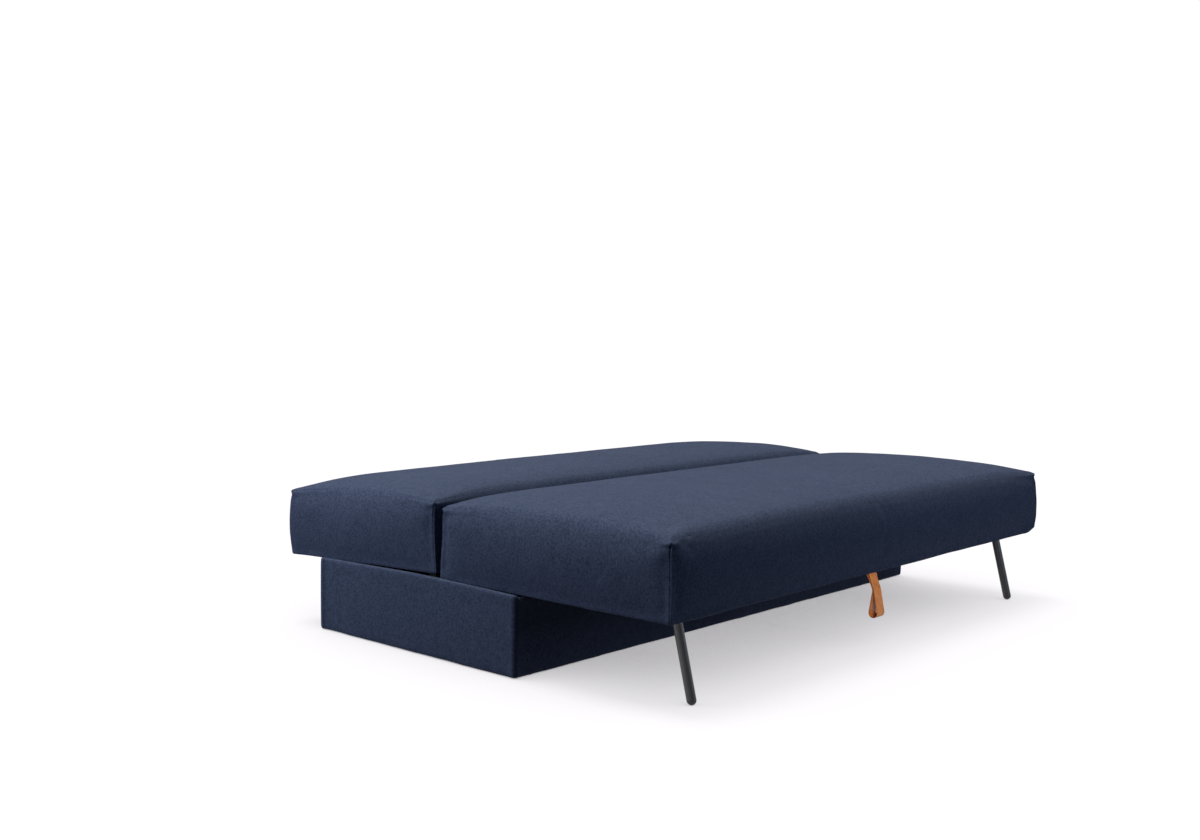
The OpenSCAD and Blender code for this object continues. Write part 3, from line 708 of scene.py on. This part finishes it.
def box_upholstery():
    """Padded fabric ring round the boards: a closed profile swept round the plan, with soft corners."""
    t = box_hi.x - panel_hi.x
    top = box_hi.z
    # (outwards from the boards, height), from below round the outside and over the top to the inside
    below = [(0.0, 0.0060), (0.003, 0.0030), (0.007, 0.0022), (t - 0.0018, 0.0040)]
    side = [(t, z) for z in (0.009, 0.018, 0.034, 0.055, 0.080, 0.105, 0.130, 0.152, 0.170, 0.183, 0.190)]
    edge = [(t - 0.0004, top - 0.0050), (t - 0.0014, top - 0.0026), (t - 0.0029, top - 0.0010),
            (t - 0.0048, top - 0.0002)]
    over = [(out, top) for out in (0.0015, -0.0010, -0.0035, -0.0060, -0.011)]
    inside = [(-0.0165, top - 0.0004), (-0.0178, top - 0.0016), (-0.0178, top - 0.0020),
              (-0.009, top - 0.0020), (0.0, top - 0.0020), (0.0, 0.15), (0.0, 0.08)]
    profile = below + side + edge + over + inside
    lo = np.array([panel_lo.x, panel_lo.y])
    hi = np.array([panel_hi.x, panel_hi.y])
    turn = 0.005  # corner radius of the boards in plan
    spacing = 0.016  # of the sections along the straight sides
    # plan of the boards as (centre, outward direction, way into the corner or None on a straight side)
    loop = []
    centres, inwards = [], []
    for x, y in ((lo[0], lo[1]), (hi[0], lo[1]), (hi[0], hi[1]), (lo[0], hi[1])):
        inward = np.array([1 if x < 0 else -1, 1 if y < (lo[1] + hi[1]) / 2 else -1]) * turn
        inwards.append(inward / turn)
        centres.append(np.array([x, y]) + inward)
    for k, start in enumerate((180, 270, 0, 90)):
        for j in range(9):
            a = math.radians(start + 90 * j / 8)
            loop.append((centres[k], np.array([math.cos(a), math.sin(a)]), inwards[k]))
        a = math.radians(start + 90)
        direction = np.array([math.cos(a), math.sin(a)])
        first = centres[k] + direction * turn
        last = centres[(k + 1) % 4] + direction * turn
        count = round(np.linalg.norm(last - first) / spacing)
        for j in range(1, count):
            point = first + (last - first) * j / count
            loop.append((point - direction * turn, direction, None))
    n, m = len(loop), len(profile)
    points = np.zeros((n, m, 3))
    least = 0.0004  # inside a corner the line turns no tighter than this, and stays square
    for i, (centre, direction, into) in enumerate(loop):
        for j, (o, z) in enumerate(profile):
            reach = turn + o
            if into is not None and reach < least:
                points[i, j, :2] = centre + into * (least - reach) + direction * least
            else:
                points[i, j, :2] = centre + direction * reach
            points[i, j, 2] = z
    flat = points.reshape(-1, 3)
    # way round the box, for the irregularities
    ring = np.linalg.norm(np.diff(points[:, 6, :2], axis=0, append=points[:1, 6, :2]), axis=1).cumsum()
    ring = np.repeat(ring, m)
    z = flat[:, 2]
    outward = np.repeat(np.array([np.append(d, 0) for _, d, _ in loop]), m, axis=0)
    is_skin = np.tile(np.array([o > t - 0.006 for o, _ in profile]), n)
    # the padded rims at the two ends rise beside the cushions
    rim = np.interp(flat[:, 1], [box_lo.y, -0.10, 0.06, 0.15, 0.22, 0.36, box_hi.y],
                    [0.0100, 0.0125, 0.0155, 0.0160, 0.0150, 0.0118, 0.0085])
    rim *= smooth((np.abs(flat[:, 0]) - 1.0028) / 0.0055) * smooth((z - 0.178) / (top - 0.178))
    rim *= np.tile(np.array([o > -0.006 and not (o == 0.0 and z0 < top) for o, z0 in profile]), n)
    belly = np.sin(np.clip(z / top, 0, 1) * math.pi) ** 0.8
    middle_x = 1 - np.abs(flat[:, 0] / hi[0]) ** 4
    middle_y = 1 - np.abs((flat[:, 1] - (lo[1] + hi[1]) / 2) / ((hi[1] - lo[1]) / 2)) ** 4
    middle = np.where(np.abs(outward[:, 0]) > 0.7, middle_y, middle_x)
    push = is_skin * belly * (0.0010 + 0.0018 * middle)
    push += is_skin * (0.0085 * np.clip(outward[:, 1], 0, 1) + 0.006 * np.abs(outward[:, 0] * outward[:, 1]))
    push += is_skin * 0.0007 * waves(ring + 0.3 * z, 53, 0.08, 0.5)
    push += is_skin * np.exp(-z / 0.03) * 0.0012 * waves(ring, 57, 0.035, 0.22)
    flat += outward * push[:, None]
    flat[:, 2] += rim
    flat[:, 2] += np.exp(-z / 0.012) * 0.0006 * waves(ring, 59, 0.05, 0.4)
    ids = np.arange(n * m).reshape(n, m)
    a, b = ids, np.roll(ids, -1, axis=0)
    quads = np.stack([a, b, np.roll(b, -1, axis=1), np.roll(a, -1, axis=1)], -1).reshape(-1, 4)
    obj = make_mesh("box_upholstery", flat, quads, FABRIC)
    sub = obj.modifiers.new("subdivision", "SUBSURF")
    sub.levels = sub.render_levels = 1
    bake_modifiers(obj)
    return obj


upholstery = box_upholstery()
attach(upholstery, "box")
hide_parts("box_cover", "box_padding")


# ---------- leather pull strap ----------

rod = Vector(joints["strap_swing"]["pos_m"])
STRAP_W, STRAP_T, ROD_R, LOOP_R = 0.042, 0.0025, 0.0028, 0.0140
NECK = (-0.020, -0.050)  # lower end of the sewn neck, in y and z from the rod
LOOP = (-0.021, -0.1160)  # middle of the hand loop


def neck_frame():
    """Directions (down the neck, to its rear side) in y and z."""
    length = math.hypot(*NECK)
    ay, az = NECK[0] / length, NECK[1] / length
    return ay, az, -az, ay


def strap_line():
    """Centreline of the folded band round the rod and the hand loop, in y and z from the rod."""
    half = STRAP_T / 2
    ny, nz = NECK
    _, _, sy, sz = neck_frame()
    r_top, r_low = ROD_R + half, LOOP_R - half
    pts = []
    # round the rod, from its rear side over the top to its front side
    base = math.atan2(sz, sy)
    for k in range(13):
        a = base + math.pi * k / 12
        pts.append((r_top * math.cos(a), r_top * math.sin(a)))
    # front layer of the neck, then the loop, then the rear layer
    for f in (0.25, 0.5, 0.75, 1.0):
        off = r_top + (half - r_top) * smooth(np.array(f * 1.6)).item()
        pts.append((ny * f - sy * off, nz * f - sz * off))
    first, last = math.radians(158), math.radians(382)
    for k in range(25):
        a = first + (last - first) * k / 24
        pts.append((LOOP[0] + r_low * math.cos(a), LOOP[1] + r_low * math.sin(a)))
    for f in (1.0, 0.75, 0.5, 0.25):
        off = r_top + (half - r_top) * smooth(np.array(f * 1.6)).item()
        pts.append((ny * f + sy * off, nz * f + sz * off))
    return pts


def closed_smooth(pts, count, times):
    """The closed line through pts, evenly spaced and softened."""
    p = np.array(pts + pts[:1])
    seg = np.linalg.norm(np.diff(p, axis=0), axis=1)
    s = np.append(0, seg.cumsum())
    t = np.linspace(0, s[-1], count, endpoint=False)
    q = np.stack([np.interp(t, s, p[:, 0]), np.interp(t, s, p[:, 1])], 1)
    for _ in range(times):
        q = 0.5 * q + 0.25 * (np.roll(q, 1, 0) + np.roll(q, -1, 0))
    return q


def strap_mesh():
    """The leather band: a rounded section swept along the closed centreline."""
    line = closed_smooth(strap_line(), 150, 3)
    tangent = np.roll(line, -1, 0) - np.roll(line, 1, 0)
    tangent /= np.linalg.norm(tangent, axis=1, keepdims=True)
    normal = np.stack([tangent[:, 1], -tangent[:, 0]], 1)
    w, t, b = STRAP_W / 2, STRAP_T / 2, 0.0008
    # rounded section with a shallow groove just inside each edge, as (across, out)
    start, middle, end, deep = 0.0022, 0.0030, 0.0038, 0.00025
    section = [(-w, -t + b), (-w, t - b), (-w + b, t), (-w + start, t), (-w + middle, t - deep),
               (-w + end, t), (0, t + 0.00015), (w - end, t), (w - middle, t - deep),
               (w - start, t), (w - b, t), (w, t - b), (w, -t + b), (w - b, -t), (0, -t), (-w + b, -t)]
    n, m = len(line), len(section)
    points = np.zeros((n, m, 3))
    for j, (x, o) in enumerate(section):
        points[:, j, 0] = x
        points[:, j, 1] = rod.y + line[:, 0] + normal[:, 0] * o
        points[:, j, 2] = rod.z + line[:, 1] + normal[:, 1] * o
    ids = np.arange(n * m).reshape(n, m)
    after = np.roll(ids, -1, axis=0)
    quads = np.stack([ids, np.roll(ids, -1, axis=1), np.roll(after, -1, axis=1), after], -1).reshape(-1, 4)
    obj = make_mesh("pull_strap_leather", points.reshape(-1, 3), quads, LEATHER)
    sub = obj.modifiers.new("subdivision", "SUBSURF")
    sub.levels = sub.render_levels = 1
    bake_modifiers(obj)
    return obj


strap = strap_mesh()
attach(strap, "pull_strap")
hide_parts("pull_strap")


def stitches(name, spots, radius, material):
    """Short thread stitches: each spot is (start, end), drawn as a six-sided capsule."""
    points, faces = [], []
    for a, b in spots:
        a, b = np.array(a), np.array(b)
        axis = (b - a) / np.linalg.norm(b - a)
        side = np.cross(axis, [0.31, 0.52, 0.79])
        side /= np.linalg.norm(side)
        up = np.cross(axis, side)
        first = len(points)
        rings = [(0.0, 0.45), (0.18, 0.95), (0.5, 1.1), (0.82, 0.95), (1.0, 0.45)]
        for f, k in rings:
            for j in range(6):
                ang = math.pi * j / 3
                points.append(a + (b - a) * f + radius * k * (side * math.cos(ang) + up * math.sin(ang)))
        for i in range(len(rings) - 1):
            for j in range(6):
                p0, p1 = first + i * 6 + j, first + i * 6 + (j + 1) % 6
                faces.append((p0, p1, p1 + 6, p0 + 6))
        faces.append(tuple(first + j for j in reversed(range(6))))
        faces.append(tuple(first + (len(rings) - 1) * 6 + j for j in range(6)))
    return make_mesh(name, points, faces, material)


def neck_stitches():
    """A box of stitches through both layers of the strap's neck, on both faces."""
    ay, az, sy, sz = neck_frame()
    pitch, stitch = 0.0036, 0.0026
    side_x, first_x = 0.0175, -0.0157
    upper, lower = 0.020, 0.045  # of the box, down the neck from the rod
    spots = []
    for face in (-1, 1):
        off = face * (STRAP_T + 0.0001)

        def at(x, down):
            return (x, rod.y + ay * down + sy * off, rod.z + az * down + sz * off)
        for x in (-side_x, side_x):
            for k in range(7):
                down = upper + k * pitch
                spots.append((at(x, down), at(x, down + stitch)))
        for down in (upper, lower):
            for k in range(9):
                x = first_x + k * pitch
                spots.append((at(x, down), at(x + stitch, down)))
    return spots


THREAD_R = 0.00036
strap_stitches = stitches("pull_strap_stitches", neck_stitches(), THREAD_R, CREAM)
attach(strap_stitches, "pull_strap")


# ---------- floor, light and camera ----------

def floor():
    """Pale floor that glows white where it is open, with painted shade under the bed: ambient occlusion dims
    its glow there.
    """
    g = Graph("floor_pale", rough=0.9, specular=0.1)
    g.base(g.mix(g.noise(1.5, 2), (0.12, 0.12, 0.12), (0.13, 0.13, 0.13)))
    g.bsdf.inputs["Emission Color"].default_value = (1.0, 0.98, 1.01, 1)
    # painted shade: the emission is lowered by ambient occlusion under and beside the bed, standing in for
    # its shadow
    open_sky = g.add("AmbientOcclusion", out=1, props={"samples": 16}, Distance=0.5)
    shaded, in_the_open = 0.09, 0.93
    glow_and_painted_shade = g.ramp(g.math("POWER", open_sky, 0.34), 0.0, 1.0, shaded, in_the_open)
    g.put(g.bsdf.inputs["Emission Strength"], glow_and_painted_shade)
    size = 60.0
    obj = make_mesh("floor", [(-size, -size, 0), (size, -size, 0), (size, size, 0), (-size, size, 0)],
                    [(0, 1, 2, 3)], g.mat)
    obj.visible_diffuse = False


def studio():
    """The surroundings: white to the camera, and a faint cool light on the bed."""
    world = bpy.data.worlds.new("studio")
    bpy.context.scene.world = world
    world.use_nodes = True
    tree = world.node_tree
    tree.nodes.clear()
    output = tree.nodes.new("ShaderNodeOutputWorld")
    mixer = tree.nodes.new("ShaderNodeMixShader")
    path = tree.nodes.new("ShaderNodeLightPath")
    ambient = tree.nodes.new("ShaderNodeBackground")
    ambient.inputs[0].default_value = (0.62, 0.84, 1.45, 1)
    ambient.inputs[1].default_value = 0.030
    white = tree.nodes.new("ShaderNodeBackground")
    white.inputs[0].default_value = (1, 1, 1, 1)
    white.inputs[1].default_value = 1.1
    tree.links.new(path.outputs["Is Camera Ray"], mixer.inputs[0])
    tree.links.new(ambient.outputs[0], mixer.inputs[1])
    tree.links.new(white.outputs[0], mixer.inputs[2])
    tree.links.new(mixer.outputs[0], output.inputs[0])


def sun(name, towards, strength, angle, color):
    """A distant light shining in the direction towards."""
    light = bpy.data.lights.new(name, "SUN")
    light.energy, light.angle, light.color = strength, math.radians(angle), color
    obj = bpy.data.objects.new(name, light)
    obj.rotation_mode = "QUATERNION"
    obj.rotation_quaternion = Vector(towards).to_track_quat("-Z", "Y")
    bpy.context.scene.collection.objects.link(obj)


def softbox(name, place, aim_at, width, height, power, color, only=None):
    """A rectangular studio light; with only it lights just those objects."""
    light = bpy.data.lights.new(name, "AREA")
    light.shape, light.size, light.size_y, light.energy = "RECTANGLE", width, height, power
    light.color = color
    obj = bpy.data.objects.new(name, light)
    obj.location = place
    obj.rotation_mode = "QUATERNION"
    obj.rotation_quaternion = (Vector(aim_at) - Vector(place)).to_track_quat("-Z", "Y")
    bpy.context.scene.collection.objects.link(obj)
    if only:
        lit = bpy.data.collections.new(name + "_only")
        for o in only:
            lit.objects.link(o)
        obj.light_linking.receiver_collection = lit


floor()
studio()
sun("key", (0.03, -0.22, -0.97), 2.8, 24, (1.02, 1.0, 0.95))
softbox("rear_left", (-3.0, 1.6, 1.5), (-0.3, 0.1, 0.3), 1.6, 1.6, 42, (0.88, 0.95, 1.11))
softbox("front_right", (0.9, -3.1, 1.2), (0.0, -0.6, 0.25), 1.2, 1.2, 14.5, (0.77, 0.95, 1.21))
softbox("strap_light", (-0.9, -1.6, 0.45), (0, front_y, 0.14), 0.5, 0.5, 9, (1.0, 0.93, 0.84),
        only=(strap, strap_stitches))

# the camera at the photo's angle, as solved from the bed's edges
CAMERA_AT = (-3.4177, front_y - 1.7717, 0.8953)
CAMERA_YAW, CAMERA_PITCH = math.radians(43.658), math.radians(-4.074)  # from +Y towards +X, and up
LENS_MM, SENSOR_MM = 39.39, 36
SHIFT_X = 2 / 15  # the photo is cropped, so its middle lies to the right of the lens's axis


def camera():
    data = bpy.data.cameras.new("camera")
    data.sensor_width = SENSOR_MM
    data.lens = LENS_MM
    data.shift_x = SHIFT_X
    data.clip_start, data.clip_end = 0.1, 200
    obj = bpy.data.objects.new("camera", data)
    bpy.context.scene.collection.objects.link(obj)
    obj.location = CAMERA_AT
    yaw, pitch = CAMERA_YAW, CAMERA_PITCH
    aim = Vector((math.sin(yaw) * math.cos(pitch), math.cos(yaw) * math.cos(pitch), math.sin(pitch)))
    obj.rotation_mode = "QUATERNION"
    obj.rotation_quaternion = aim.to_track_quat("-Z", "Y")
    bpy.context.scene.camera = obj


camera()
bpy.context.scene.view_settings.view_transform = "Standard"
